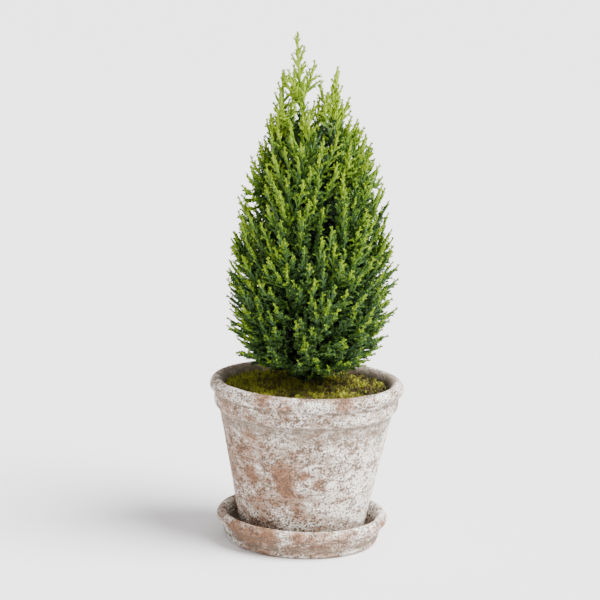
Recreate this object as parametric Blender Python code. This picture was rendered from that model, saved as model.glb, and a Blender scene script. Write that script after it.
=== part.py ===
"""A lemon cypress grown as a pointed cone, in an aged terracotta pot on its saucer.

Metres, +Z up. The origin is the middle of the saucer's flat underside.
"""

import math
import random

import bmesh
import bpy
import numpy as np
from mathutils import Vector, noise

SEED = 23
GAP = 0.0003  # between pieces that touch

# Saucer
SAUCER_SIDES = 40
SAUCER_FOOT_RADIUS = 0.0820
SAUCER_WAIST_RADIUS = 0.0868
SAUCER_WAIST_HEIGHT = 0.0174
SAUCER_ROLL_RADIUS = 0.0062
SAUCER_OUTER_RADIUS = 0.0933
SAUCER_HEIGHT = 0.0323
SAUCER_FLOOR = 0.0095
SAUCER_WELL_RADIUS = 0.0775

# Pot
POT_SIDES = 40
POT_FOOT_RADIUS = 0.0660
POT_FLOOR_THICKNESS = 0.0105
POT_WALL = 0.0088
DRAIN_RADIUS = 0.0090
COLLAR_LOW = 0.1446
COLLAR_LOW_RADIUS = 0.0936
COLLAR_RADIUS = 0.0997
COLLAR_TOP = 0.1607
COLLAR_ROUNDING = 0.0040  # height of its rounded upper and lower edges
COLLAR_TOP_INSET = 0.0004
COLLAR_LOW_INSET = 0.0012
RIM_OUTER_RADIUS = 0.1050
RIM_ROLL_RADIUS = 0.0076
RIM_HEIGHT = 0.1784

# Soil and moss
SOIL_EDGE = 0.1632
SOIL_SEAT = 0.1690
SOIL_SEAT_RADIUS = 0.0105
MOSS_SIDES = 28
MOSS_RINGS = 4
MOSS_DEPTH = 0.0050
MOSS_EDGE_SHARE = 0.55  # of that depth at the trunk and at the wall
MOSS_LUMP = 0.0022
MOSS_LUMP_SPACING = 0.014
MOSS_CLEARANCE = 0.0006

# Trunk
TRUNK_SIDES = 10
TRUNK_RINGS = 9
TRUNK_RING_CROWDING = 1.8  # rings stand closer together towards the foot
TRUNK_FOOT_X = 0.0016
TRUNK_LEAN = -0.0256
TRUNK_LEAN_CURVE = 1.6
TRUNK_SWAY = 0.0012
TRUNK_TOP = 0.425
TRUNK_FOOT_RADIUS = 0.0048
TRUNK_TOP_RADIUS = 0.0018
FLARE = 0.0036
FLARE_HEIGHT = 0.0055
FLARE_LOBES = 5
FLARE_LOBE_DEPTH = 0.25  # half of the share of the flare that is missing between two lobes
CROWN_TOP = 0.548
CROWN_LEAN_START = 0.430  # above this height the crown's middle moves over to the leaning leader

# Crown: radius of the cone of shoot tips at each height
CROWN_OUTLINE = (
    (0.188, 0.066),
    (0.210, 0.079),
    (0.250, 0.087),
    (0.300, 0.089),
    (0.345, 0.079),
    (0.400, 0.066),
    (0.450, 0.048),
    (0.500, 0.028),
    (0.548, 0.004),
)
# Angle of a shoot's tip from upright at each height, in degrees
CROWN_SPREAD = ((0.188, 84), (0.215, 62), (0.240, 50), (0.300, 35), (0.400, 20), (0.480, 9), (0.548, 2))
BRANCH_START_LOW = 0.184  # on the trunk, for the crown's lowest tip
BRANCH_START_RATE = 0.27  # rise of the start for each rise of the tip
BRANCH_ANGLE = 40  # degrees above level where a bough leaves the trunk
LOW_BRANCH_SHARE = 0.8  # of the slope up to its tip, where that slope is flatter than this angle
BRANCH_BEND = 0.36  # of a branch's reach, over which it keeps its first and its last direction

NEARLY_UPRIGHT = 0.2  # sideways share of a curve's length

# Boughs
BOUGH_SIDES = 4
BOUGH_BANDS = 3
BOUGH_ROOT_RADIUS = 0.0021
BOUGH_TIP_RADIUS = 0.0013

# Foliage
TIP_PITCH = 0.0400  # between neighbouring shoot tips
TIP_ROUNDS = 40  # of the tips pushing one another apart
TIP_STEP = 0.0012
TIP_PULLS = (0.0, 0.12, 0.24, 0.36, 0.48)  # of the way to the mass's own tip, tried in turn
PLUME_LENGTH = 0.112
PLUME_SHARES = (0.88, 0.72, 0.56)  # of a shoot's length that bears needles at most, tried in turn
PLUME_LEVELS = 4
PLUME_HALF_WIDTH = 0.0205
PLUME_SIZES = (1.0, 0.84, 0.68, 0.5)  # tried in turn
PLUME_CORE = 0.0078  # radius of the matted needles along a side shoot
STEM_CORE = 0.0100  # and along a mass's own stem
TOOTH_SPAN = 0.88  # of the needled length that the teeth's roots take up
TOOTH_SLANT = 0.95  # of the distance between teeth, from a tooth's root to its point
TOOTH_REACH = (0.84, 1.14)  # of the plume's half width, at random
TWIG_RADIUS = 0.0012
TWIG_TAPER = 0.8  # of its radius that it loses along the plume
NOTCH_STEP = 0.0009  # that the hollow between two teeth stands out of the matted core
FORK_ANGLE = 40  # degrees between a stem and its side shoot
FIRST_FORK = 0.05  # of the stem's length
FORK_PITCH = 0.05
SHOOT_LEAVE = 0.3  # of a side shoot's reach, over which it keeps its first direction
SHOOT_ARRIVE = 0.4  # and its last
STEM_STAND_OFF = 1.3 * GAP  # from the bough's end to the stem's root
SPACE_MARGIN = 0.0005  # from the middle between two masses
LIMB_MARGIN = 0.0008

# Each tier of masses: name, height of its tips, how many stand round the trunk, the share of the way at
# which its boughs end and its masses start, and the turn of the first bough in degrees
TIERS = (
    ("skirt", 0.212, 6, 0.20, 8),
    ("low", 0.268, 6, 0.19, 38),
    ("waist", 0.334, 6, 0.20, 8),
    ("shoulder", 0.405, 4, 0.24, 60),
)
TURN_JITTER = 6  # degrees
HEIGHT_JITTER = 0.008
START_STAGGER = 0.006  # between the starts of neighbouring boughs
# Upright shoots at the top: name, tip, height of the start on the trunk, share of the way at which the
# bough ends
TOP_SHOOTS = (
    ("second_leader", Vector((0.0195, -0.006, 0.514)), 0.330, 0.34),
    ("left_shoot", Vector((-0.0380, 0.008, 0.508)), 0.318, 0.34),
    ("back_shoot", Vector((0.0020, 0.034, 0.478)), 0.306, 0.34),
    ("front_shoot", Vector((-0.0080, -0.036, 0.470)), 0.294, 0.34),
)


def material(name, colour, roughness):
    made = bpy.data.materials.new(name)
    made.use_nodes = True
    surface = made.node_tree.nodes["Principled BSDF"]
    surface.inputs["Base Color"].default_value = (*colour, 1.0)
    surface.inputs["Roughness"].default_value = roughness
    surface.inputs["Metallic"].default_value = 0.0
    return made


def add_object(name, mesh, surface):
    made = bpy.data.objects.new(name, mesh)
    made.data.materials.append(surface)
    bpy.context.scene.collection.objects.link(made)
    return made


def mesh_from(name, corners, faces):
    """A closed mesh with its faces turned outwards."""
    bm = bmesh.new()
    points = [bm.verts.new(corner) for corner in corners]
    for face in faces:
        bm.faces.new([points[index] for index in face])
    bmesh.ops.recalc_face_normals(bm, faces=bm.faces[:])
    mesh = bpy.data.meshes.new(name)
    bm.to_mesh(mesh)
    bm.free()
    return mesh


def arc(centre_radius, centre_height, radius, start, end, steps):
    """Points of a turned profile on an arc, from one angle to the other in degrees."""
    angles = [math.radians(start + (end - start) * step / steps) for step in range(steps + 1)]
    return [
        (centre_radius + radius * math.cos(angle), centre_height + radius * math.sin(angle))
        for angle in angles
    ]


def turned(name, profile, closed, sides, surface):
    """A profile of (radius, height) points turned round the axis. It runs down its outer side."""
    mesh = bpy.data.meshes.new(name)
    edges = [(index, index + 1) for index in range(len(profile) - 1)]
    if closed:
        edges.append((len(profile) - 1, 0))
    mesh.from_pydata([(radius, 0.0, height) for radius, height in profile], edges, [])
    made = add_object(name, mesh, surface)
    screw = made.modifiers.new("turn", "SCREW")
    screw.steps = sides
    screw.render_steps = sides
    screw.use_merge_vertices = True
    screw.merge_threshold = 0.00001
    return made


def saucer_profile():
    roll_centre = SAUCER_OUTER_RADIUS - SAUCER_ROLL_RADIUS
    roll_height = SAUCER_HEIGHT - SAUCER_ROLL_RADIUS
    roll = arc(roll_centre, roll_height, SAUCER_ROLL_RADIUS, 165, -55, 6)
    return [
        (0.0, SAUCER_FLOOR),
        (SAUCER_WELL_RADIUS, SAUCER_FLOOR),
        *roll,
        (SAUCER_WAIST_RADIUS, SAUCER_WAIST_HEIGHT),
        (SAUCER_FOOT_RADIUS, 0.0),
        (0.0, 0.0),
    ]


POT_FOOT = SAUCER_FLOOR + GAP
POT_FLOOR = POT_FOOT + POT_FLOOR_THICKNESS


def inner_wall_radius(height):
    """The inside of the pot's wall, parallel to the tapering outside."""
    share = (height - POT_FOOT) / (COLLAR_LOW - POT_FOOT)
    return POT_FOOT_RADIUS + (COLLAR_LOW_RADIUS - POT_FOOT_RADIUS) * share - POT_WALL


def pot_profile():
    """A closed loop: down the outside, under the foot, up through the drain hole and up the inside."""
    roll_height = RIM_HEIGHT - RIM_ROLL_RADIUS
    roll = arc(RIM_OUTER_RADIUS - RIM_ROLL_RADIUS, roll_height, RIM_ROLL_RADIUS, 170, -60, 6)
    collar = [
        (COLLAR_RADIUS - COLLAR_TOP_INSET, COLLAR_TOP),
        (COLLAR_RADIUS, COLLAR_TOP - COLLAR_ROUNDING),
        (COLLAR_RADIUS - COLLAR_LOW_INSET, COLLAR_LOW + COLLAR_ROUNDING),
    ]
    return [
        *roll,
        *collar,
        (COLLAR_LOW_RADIUS, COLLAR_LOW),
        (POT_FOOT_RADIUS, POT_FOOT),
        (DRAIN_RADIUS, POT_FOOT),
        (DRAIN_RADIUS, POT_FLOOR),
        (inner_wall_radius(POT_FLOOR), POT_FLOOR),
        (inner_wall_radius(SOIL_EDGE), SOIL_EDGE),
    ]


def soil_profile():
    bottom = POT_FLOOR + GAP
    return [
        (0.0, SOIL_SEAT),
        (SOIL_SEAT_RADIUS, SOIL_SEAT),
        (inner_wall_radius(SOIL_EDGE) - 2 * GAP, SOIL_EDGE),
        (inner_wall_radius(bottom) - 2 * GAP, bottom),
        (0.0, bottom),
    ]


def trunk_axis(height):
    """Middle of the trunk, and above its tip of the leading shoot."""
    climb = (height - SOIL_SEAT) / (CROWN_TOP - SOIL_SEAT)
    lean = TRUNK_LEAN * max(climb, 0.0) ** TRUNK_LEAN_CURVE
    sway = TRUNK_SWAY * math.sin(2 * math.pi * climb)
    return Vector((TRUNK_FOOT_X + lean, sway, height))


def trunk_radius(height):
    climb = (height - SOIL_SEAT) / (TRUNK_TOP - SOIL_SEAT)
    return TRUNK_FOOT_RADIUS + (TRUNK_TOP_RADIUS - TRUNK_FOOT_RADIUS) * min(max(climb, 0.0), 1.0)


def flare_radius(height, turn):
    """The trunk's radius with the root flare, whose lobes run out at the foot."""
    fade = math.exp(-(height - SOIL_SEAT) / FLARE_HEIGHT)
    lobe = 1.0 - FLARE_LOBE_DEPTH * (1.0 - math.cos(FLARE_LOBES * turn))
    return trunk_radius(height) + FLARE * fade * lobe


def build_moss(surface):
    """A lumpy ring of moss that lies on the soil, from the trunk out to the wall."""
    outer = inner_wall_radius(SOIL_EDGE) - 4 * GAP
    foot = trunk_axis(SOIL_SEAT + GAP)
    corners = []
    for ring in range(MOSS_RINGS + 1):
        share = ring / MOSS_RINGS
        for side in range(MOSS_SIDES):
            turn = 2 * math.pi * side / MOSS_SIDES
            way = Vector((math.cos(turn), math.sin(turn), 0.0))
            inner = flare_radius(SOIL_SEAT + GAP, turn) + MOSS_CLEARANCE
            place = (foot + way * inner).lerp(way * outer, share)
            radius = math.hypot(place.x, place.y)
            slope = (radius - SOIL_SEAT_RADIUS) / (inner_wall_radius(SOIL_EDGE) - SOIL_SEAT_RADIUS)
            base = SOIL_SEAT + (SOIL_EDGE - SOIL_SEAT) * max(slope, 0.0) + GAP
            lump = MOSS_LUMP * noise.noise(Vector((place.x, place.y, 3.0)) / MOSS_LUMP_SPACING)
            edge = MOSS_EDGE_SHARE if ring in (0, MOSS_RINGS) else 1.0
            corners.append((place.x, place.y, base))
            corners.append((place.x, place.y, base + edge * MOSS_DEPTH + lump))
    faces = []
    for side in range(MOSS_SIDES):
        beside = (side + 1) % MOSS_SIDES
        for ring in range(MOSS_RINGS):
            a, b = 2 * (ring * MOSS_SIDES + side), 2 * (ring * MOSS_SIDES + beside)
            c, d = a + 2 * MOSS_SIDES, b + 2 * MOSS_SIDES
            faces.append((a + 1, c + 1, d + 1, b + 1))
            faces.append((a, b, d, c))
        last = 2 * (MOSS_RINGS * MOSS_SIDES + side)
        last_beside = 2 * (MOSS_RINGS * MOSS_SIDES + beside)
        faces.append((2 * side, 2 * side + 1, 2 * beside + 1, 2 * beside))
        faces.append((last, last_beside, last_beside + 1, last + 1))
    return add_object("moss", mesh_from("moss", corners, faces), surface)


def build_trunk(surface):
    corners = []
    foot = SOIL_SEAT + GAP
    for ring in range(TRUNK_RINGS + 1):
        height = foot + (TRUNK_TOP - foot) * (ring / TRUNK_RINGS) ** TRUNK_RING_CROWDING
        for side in range(TRUNK_SIDES):
            turn = 2 * math.pi * side / TRUNK_SIDES
            radius = flare_radius(height, turn)
            corners.append(trunk_axis(height) + Vector((math.cos(turn), math.sin(turn), 0.0)) * radius)
    return add_object("trunk", mesh_from("trunk", corners, tube_faces(TRUNK_RINGS, TRUNK_SIDES)), surface)


def tube_faces(bands, sides):
    """Faces of a tube whose rings of corners follow one another, with a flat cap at each end."""
    faces = [tuple(range(sides)), tuple(range(bands * sides, (bands + 1) * sides))]
    for band in range(bands):
        for side in range(sides):
            a, b = band * sides + side, band * sides + (side + 1) % sides
            faces.append((a, b, b + sides, a + sides))
    return faces


def curve_point(points, share):
    """A point on the cubic curve with these four control points."""
    rest = 1.0 - share
    start, first, second, end = points
    return (
        start * rest**3
        + first * (3 * rest * rest * share)
        + second * (3 * rest * share * share)
        + end * share**3
    )


def curve_way(points, share):
    """The curve's direction there."""
    rest = 1.0 - share
    start, first, second, end = points
    way = (first - start) * rest * rest + (second - first) * (2 * rest * share) + (end - second) * share**2
    return way.normalized()


def crown_radius(height):
    heights, radii = zip(*CROWN_OUTLINE)
    return float(np.interp(height, heights, radii))


def tip_way(height, turn):
    """The direction in which a shoot's tip points at this height of the crown."""
    heights, angles = zip(*CROWN_SPREAD)
    spread = math.radians(float(np.interp(height, heights, angles)))
    return Vector((math.cos(turn) * math.sin(spread), math.sin(turn) * math.sin(spread), math.cos(spread)))


def crown_axis(height):
    """The crown's middle: the pot's axis low down, and the leader's at the top."""
    share = max(0.0, (height - CROWN_LEAN_START) / (CROWN_TOP - CROWN_LEAN_START))
    middle = trunk_axis(height)
    return Vector((middle.x * share, middle.y * share, height))


def crown_tip(height, turn):
    return crown_axis(height) + Vector((math.cos(turn), math.sin(turn), 0.0)) * crown_radius(height)


def branch_curve(start_height, tip):
    """The course of a branch, from the trunk's middle out and up to its tip on the crown's outline."""
    start = trunk_axis(start_height)
    away = tip - start
    turn = math.atan2(away.y, away.x)
    rise = math.radians(BRANCH_ANGLE)
    slope = math.atan2(away.z, math.hypot(away.x, away.y))
    if slope < rise:
        rise = slope * LOW_BRANCH_SHARE
    leave = Vector((math.cos(turn) * math.cos(rise), math.sin(turn) * math.cos(rise), math.sin(rise)))
    bend = away.length * BRANCH_BEND
    return (start, start + leave * bend, tip - tip_way(tip.z, turn) * bend, tip)


def branch_start(tip_height):
    return BRANCH_START_LOW + (tip_height - CROWN_OUTLINE[0][0]) * BRANCH_START_RATE


def across(curve, share):
    """Two directions square to the curve and to each other, that turn smoothly along it."""
    chord = curve[3] - curve[0]
    normal = chord.cross(Vector((0.0, 0.0, 1.0)))
    if normal.length < NEARLY_UPRIGHT * chord.length:
        normal = chord.cross(Vector((0.0, 1.0, 0.0)))
    way = curve_way(curve, share)
    over = normal.cross(way).normalized()
    return way.cross(over), over


def build_bough(name, curve, end_share, surface):
    """One tapering limb. Its root is cut parallel to the trunk and stands just clear of it."""
    start_height = curve[0].z
    outwards = curve_way(curve, 0.0).copy()
    outwards.z = 0.0
    outwards.normalize()
    stand_off = trunk_radius(start_height) + GAP
    corners = []
    for band in range(BOUGH_BANDS + 1):
        share = end_share * band / BOUGH_BANDS
        middle, way = curve_point(curve, share), curve_way(curve, share)
        side, over = across(curve, share)
        radius = BOUGH_ROOT_RADIUS + (BOUGH_TIP_RADIUS - BOUGH_ROOT_RADIUS) * band / BOUGH_BANDS
        for step in range(BOUGH_SIDES):
            turn = 2 * math.pi * step / BOUGH_SIDES
            corner = middle + (side * math.cos(turn) + over * math.sin(turn)) * radius
            if band == 0:
                short = stand_off - (corner - curve[0]).dot(outwards)
                corner = corner + way * (short / way.dot(outwards))
            corners.append(corner)
    return add_object(name, mesh_from(name, corners, tube_faces(BOUGH_BANDS, BOUGH_SIDES)), surface)


def plume(curve, start_share, root_radius, needled_share, core, size, rng):
    """Corners and faces of a three-sided twig that swells to a slim core of matted needles.

    Three lines of corners run along it. Between each two of them a wing of slanting teeth stands out.
    """
    length = (1.0 - start_share) * sum(
        (curve_point(curve, step / 20) - curve_point(curve, (step + 1) / 20)).length for step in range(20)
    )
    needled = min(PLUME_LENGTH * size / length, needled_share)
    roll = rng.uniform(0.0, 2 * math.pi / 3)
    corners, faces = [], []

    def core_radius(along):
        return TWIG_RADIUS * (1.0 - TWIG_TAPER * along) + core * size * math.sin(math.pi * along**0.8)

    def reach(along):
        """Of a tooth: the plume widens from its root, is full past its middle and closes at its tip."""
        outline = min(1.0, 0.3 + 2.2 * along) * (0.95 + 0.4 * along) * (1.0 - along**2.4)
        return PLUME_HALF_WIDTH * size * rng.uniform(*TOOTH_REACH) * outline

    def add(along, turn, radius):
        """A corner at this share of the needled length, or before it where the share is negative."""
        share = start_share + (1.0 - start_share) * (1.0 - needled * (1.0 - along))
        side, over = across(curve, share)
        out = side * math.cos(turn + roll) + over * math.sin(turn + roll)
        corners.append(curve_point(curve, share) + out * radius)
        return len(corners) - 1

    pitch = TOOTH_SPAN / PLUME_LEVELS
    lines, outlines = [], []
    for wing in range(3):
        turn = 2 * math.pi * wing / 3
        line = [add(1.0 - 1.0 / needled, turn, root_radius), add(0.0, turn, TWIG_RADIUS)]
        for level in range(PLUME_LEVELS):
            along = pitch * (level + 0.4 + wing / 5)
            line.append(add(along, turn, core_radius(along)))
        lines.append(line)
    apex = add(1.0, 0.0, 0.0)
    for wing in range(3):
        turn = 2 * math.pi * (wing + 0.5) / 3
        outline = []
        for level in range(PLUME_LEVELS):
            along = pitch * (level + wing / 4)
            outline.append(add(along, turn, 0.8 * core_radius(along) + NOTCH_STEP))
            point = min(along + pitch * TOOTH_SLANT, 0.96)
            outline.append(add(point, turn, max(reach(point), core_radius(point) + NOTCH_STEP)))
        outlines.append(outline)
    faces.append((lines[0][0], lines[1][0], lines[2][0]))
    for wing in range(3):
        left, right = lines[wing], lines[(wing + 1) % 3]
        faces.append((left[0], right[0], right[1], left[1]))
        outline = outlines[wing] + [apex]
        faces.append((left[1], right[1], outline[0]))
        for line in (left, right):
            ridge = line[2:] + [apex]
            faces.append((line[1], ridge[0], outline[0]))
            for level in range(PLUME_LEVELS):
                notch, tooth, after = outline[2 * level : 2 * level + 3]
                faces.append((ridge[level], tooth, notch))
                faces.append((ridge[level], after, tooth))
                if level < PLUME_LEVELS - 1:
                    faces.append((ridge[level], ridge[level + 1], after))
    return corners, faces


class Line:
    """A limb or stem as short straight runs with a radius, for measuring distances to it."""

    def __init__(self, points, radii):
        self.starts = np.array(points[:-1])
        self.runs = np.array(points[1:]) - self.starts
        self.radii = (np.array(radii[:-1]) + np.array(radii[1:])) / 2

    def distance(self, places):
        """From each place to the line's surface."""
        away = places[:, None, :] - self.starts[None]
        share = (away * self.runs).sum(-1) / (self.runs**2).sum(-1)
        nearest = self.starts + np.clip(share, 0.0, 1.0)[..., None] * self.runs
        return (np.linalg.norm(places[:, None, :] - nearest, axis=-1) - self.radii).min(1)


def curve_line(curve, start, end, start_radius, end_radius, steps=8):
    shares = [start + (end - start) * step / steps for step in range(steps + 1)]
    radii = [start_radius + (end_radius - start_radius) * step / steps for step in range(steps + 1)]
    return Line([curve_point(curve, share) for share in shares], radii)


class Mass:
    """A mass of foliage: its name, the course of its bough and stem, and where the stem starts on it."""

    def __init__(self, name, curve, bough_end):
        self.name = name
        self.curve = curve
        self.bough_end = bough_end
        length = (curve[3] - curve[0]).length
        self.stem_start = bough_end + STEM_STAND_OFF / length
        self.tips = []
        self.stem = curve_line(curve, self.stem_start, 1.0, 0.0, 0.0)
        self.bough = curve_line(curve, 0.0, bough_end, BOUGH_ROOT_RADIUS, BOUGH_TIP_RADIUS)


def plan_masses():
    masses = []
    rng = random.Random(SEED)
    for name, height, count, bough_end, first_turn in TIERS:
        for index in range(count):
            turn = math.radians(first_turn + 360 * index / count + rng.uniform(-TURN_JITTER, TURN_JITTER))
            tip_height = height + rng.uniform(-HEIGHT_JITTER, HEIGHT_JITTER)
            tip = crown_tip(tip_height, turn)
            start = branch_start(tip_height) + START_STAGGER * (index % 2)
            masses.append(Mass(f"{name}_{index + 1}", branch_curve(start, tip), bough_end))
    for name, tip, start, bough_end in TOP_SHOOTS:
        masses.append(Mass(name, branch_curve(start, tip), bough_end))
    top = trunk_axis(TRUNK_TOP)
    tip = trunk_axis(CROWN_TOP)
    leader = (top, top.lerp(tip, 1 / 3), top.lerp(tip, 2 / 3), tip)
    masses.append(Mass("leader", leader, 0.0))
    return masses


def plan_limbs(masses):
    """The trunk and all boughs, which foliage keeps clear of."""
    heights = np.linspace(SOIL_SEAT, TRUNK_TOP, 16)
    trunk = Line([trunk_axis(height) for height in heights], [trunk_radius(height) for height in heights])
    masses[-1].bough = trunk
    return [trunk] + [mass.bough for mass in masses[:-1]]


def first_tips(own_tips):
    """Heights and turns of side shoot tips on a spiral round the crown, as many as its area has room for."""
    low = CROWN_OUTLINE[0][0]
    heights = np.linspace(low, CROWN_TOP, 200)
    radii = np.array([crown_radius(height) for height in heights])
    slant = np.hypot(np.diff(heights), np.diff(radii))
    area = np.concatenate([[0.0], np.cumsum(math.pi * (radii[1:] + radii[:-1]) * slant)])
    count = round(area[-1] / TIP_PITCH**2) - len(own_tips)
    golden = math.pi * (3 - math.sqrt(5))
    spots = []
    for index in range(count):
        height = np.interp((index + 0.5) / count * area[-1], area, heights)
        spots.append((float(height), index * golden))
    return spots


def spread_tips(masses):
    """Side shoot tips that push one another apart on the outline, each given to the nearest stem's mass."""
    own_tips = [mass.curve[3] for mass in masses]
    spots = first_tips(own_tips)
    for _ in range(TIP_ROUNDS):
        tips = [crown_tip(*spot) for spot in spots]
        moved = []
        for (height, turn), tip in zip(spots, tips):
            push = Vector()
            for other in tips + own_tips:
                away = tip - other
                if 0.0 < away.length < 2 * TIP_PITCH:
                    push += away.normalized() * (TIP_PITCH / away.length) ** 2
            push *= TIP_STEP
            sideways = Vector((-math.sin(turn), math.cos(turn), 0.0))
            height = min(max(height + push.z, CROWN_OUTLINE[0][0]), CROWN_TOP - TIP_PITCH)
            moved.append((height, turn + push.dot(sideways) / crown_radius(height)))
        spots = moved
    for spot in sorted(spots):
        tip = crown_tip(*spot)
        place = np.array([tip])
        nearest = min(masses, key=lambda mass: mass.stem.distance(place)[0])
        nearest.tips.append(tip)


def samples(corners, faces):
    """The corners of a piece and the middles of its edges and faces."""
    places = [Vector(corner) for corner in corners]
    middles = [sum((places[i] for i in face), Vector()) / len(face) for face in faces]
    edges = {tuple(sorted((a, b))) for face in faces for a, b in zip(face, face[1:] + face[:1])}
    return np.array([*places, *middles, *(places[a].lerp(places[b], 0.5) for a, b in sorted(edges))])


def keeps_its_space(piece, mass, masses, limbs):
    """Whether a piece is nearer to its own stem than to any other, and touches no limb or moss."""
    places = samples(*piece)
    own = mass.stem.distance(places)
    for other in masses:
        if other is not mass and (other.stem.distance(places) < own + 2 * SPACE_MARGIN).any():
            return False
    if any((limb.distance(places) < LIMB_MARGIN).any() for limb in limbs):
        return False
    return bool((places[:, 2] > SOIL_SEAT + MOSS_DEPTH + MOSS_LUMP).all())


def shoot_curve(mass, fork, tip):
    """The course of a side shoot, from its fork on the mass's stem to its tip."""
    start, along = curve_point(mass.curve, fork), curve_way(mass.curve, fork)
    reach = (tip - start).length
    aside = (tip - start) - along * (tip - start).dot(along)
    angle = math.radians(FORK_ANGLE)
    leave = along * math.cos(angle) + aside.normalized() * math.sin(angle)
    out = tip - crown_axis(tip.z)
    end_way = tip_way(tip.z, math.atan2(out.y, out.x))
    return (start, start + leave * reach * SHOOT_LEAVE, tip - end_way * reach * SHOOT_ARRIVE, tip)


def first_fit(tries, mass, masses, limbs):
    """The first of these pieces that keeps its space, or None."""
    return next((piece for piece in tries if keeps_its_space(piece, mass, masses, limbs)), None)


def plumes(curves, start_share, root_radius, core, rng):
    """Plumes to try on a shoot: the fullest first, and each along all the courses in turn."""
    for size in PLUME_SIZES:
        for needled_share in PLUME_SHARES:
            for curve in curves:
                yield plume(curve, start_share, root_radius, needled_share, core, size, rng)


def mass_pieces(mass, masses, limbs):
    """The stem with its own plume, then the side shoots that keep to the mass's space."""
    rng = random.Random(f"{SEED} {mass.name}")
    other_limbs = [limb for limb in limbs if limb is not mass.bough]
    stem = plumes([mass.curve], mass.stem_start, BOUGH_TIP_RADIUS, STEM_CORE, rng)
    pieces = [first_fit(stem, mass, masses, other_limbs)]
    for index, tip in enumerate(mass.tips):
        fork = mass.stem_start + (1.0 - mass.stem_start) * (FIRST_FORK + FORK_PITCH * index)
        curves = [shoot_curve(mass, fork, tip.lerp(mass.curve[3], pull)) for pull in TIP_PULLS]
        side_shoot = plumes(curves, 0.0, TWIG_RADIUS, PLUME_CORE, rng)
        pieces.append(first_fit(side_shoot, mass, masses, limbs))
    return [piece for piece in pieces if piece]


def joined(name, pieces, surface):
    """One solid of all the pieces, by a Boolean union of the first with a collection of the rest."""
    made = [
        add_object(f"{name}_piece_{index}", mesh_from(name, *piece), surface)
        for index, piece in enumerate(pieces)
    ]
    group = bpy.data.collections.new(f"{name}_pieces")
    for piece in made[1:]:
        group.objects.link(piece)
    union = made[0].modifiers.new("union", "BOOLEAN")
    union.operation = "UNION"
    union.operand_type = "COLLECTION"
    union.collection = group
    for solver in ("EXACT", "MANIFOLD"):
        union.solver = solver
        graph = bpy.context.evaluated_depsgraph_get()
        mesh = bpy.data.meshes.new_from_object(made[0].evaluated_get(graph))
        if keep_outer_shell(mesh):
            break
    for piece in made:
        bpy.data.objects.remove(piece)
    bpy.data.collections.remove(group)
    mesh.name = name
    return add_object(name, mesh, surface)


def keep_outer_shell(mesh):
    """Leaves the largest shell of a mesh: loose scraps are dropped and sealed hollows filled.

    Returns whether that shell is closed.
    """
    bm = bmesh.new()
    bm.from_mesh(mesh)
    bmesh.ops.triangulate(bm, faces=bm.faces[:])
    bm.verts.index_update()
    waiting = set(bm.verts)
    shells = []
    while waiting:
        shell, front = set(), [waiting.pop()]
        while front:
            corner = front.pop()
            shell.add(corner)
            for edge in corner.link_edges:
                other = edge.other_vert(corner)
                if other in waiting:
                    waiting.discard(other)
                    front.append(other)
        shells.append(shell)
    largest = max(shells, key=len)
    bmesh.ops.delete(bm, geom=[corner for corner in bm.verts if corner not in largest], context="VERTS")
    closed = all(edge.is_manifold for edge in bm.edges)
    mesh.clear_geometry()
    bm.to_mesh(mesh)
    bm.free()
    mesh.materials.clear()
    return closed


def build_plant(bark, needles):
    masses = plan_masses()
    limbs = plan_limbs(masses)
    spread_tips(masses)
    build_trunk(bark)
    for mass in masses[:-1]:
        build_bough(f"bough_{mass.name}", mass.curve, mass.bough_end, bark)
    for mass in masses:
        joined(f"foliage_{mass.name}", mass_pieces(mass, masses, limbs), needles)


def main():
    for old in list(bpy.data.objects):
        bpy.data.objects.remove(old)
    terracotta = material("whitewashed_terracotta", (0.60, 0.54, 0.48), 0.9)
    earth = material("potting_soil", (0.035, 0.022, 0.014), 0.95)
    green_moss = material("moss", (0.17, 0.18, 0.03), 0.95)
    bark = material("bark", (0.13, 0.07, 0.04), 0.85)
    needles = material("needles", (0.13, 0.30, 0.04), 0.6)
    turned("saucer", saucer_profile(), False, SAUCER_SIDES, terracotta)
    turned("pot", pot_profile(), True, POT_SIDES, terracotta)
    turned("soil", soil_profile(), False, POT_SIDES, earth)
    build_moss(green_moss)
    build_plant(bark, needles)


main()
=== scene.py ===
"""The look of a small lemon cypress in an aged, whitewashed terracotta pot.

Metres, +Z up. The crown grows from its limbs by the same rule as its solids, carried on to side twigs
and needles. The pot and the saucer are turned finely and weathered by their material.
"""

import math
import random
from collections import namedtuple

import bpy
import numpy as np
from mathutils import Matrix, Vector, noise

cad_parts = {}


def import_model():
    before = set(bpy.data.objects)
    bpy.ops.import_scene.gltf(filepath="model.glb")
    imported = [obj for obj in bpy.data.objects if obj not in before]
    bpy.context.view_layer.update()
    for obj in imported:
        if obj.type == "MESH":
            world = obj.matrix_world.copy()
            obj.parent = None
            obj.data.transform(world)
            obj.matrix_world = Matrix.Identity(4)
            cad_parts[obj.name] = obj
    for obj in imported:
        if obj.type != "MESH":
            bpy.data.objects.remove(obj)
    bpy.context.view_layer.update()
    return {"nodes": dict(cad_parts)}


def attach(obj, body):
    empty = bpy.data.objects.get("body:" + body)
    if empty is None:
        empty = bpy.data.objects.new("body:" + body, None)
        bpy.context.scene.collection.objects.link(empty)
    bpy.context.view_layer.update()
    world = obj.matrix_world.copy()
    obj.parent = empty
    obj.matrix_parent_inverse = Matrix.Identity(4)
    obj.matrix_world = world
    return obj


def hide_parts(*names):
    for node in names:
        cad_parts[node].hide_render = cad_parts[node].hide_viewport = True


SEED = 23
GAP = 0.0003  # between parts that rest on each other
UP = np.array([0.0, 0.0, 1.0])

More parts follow.
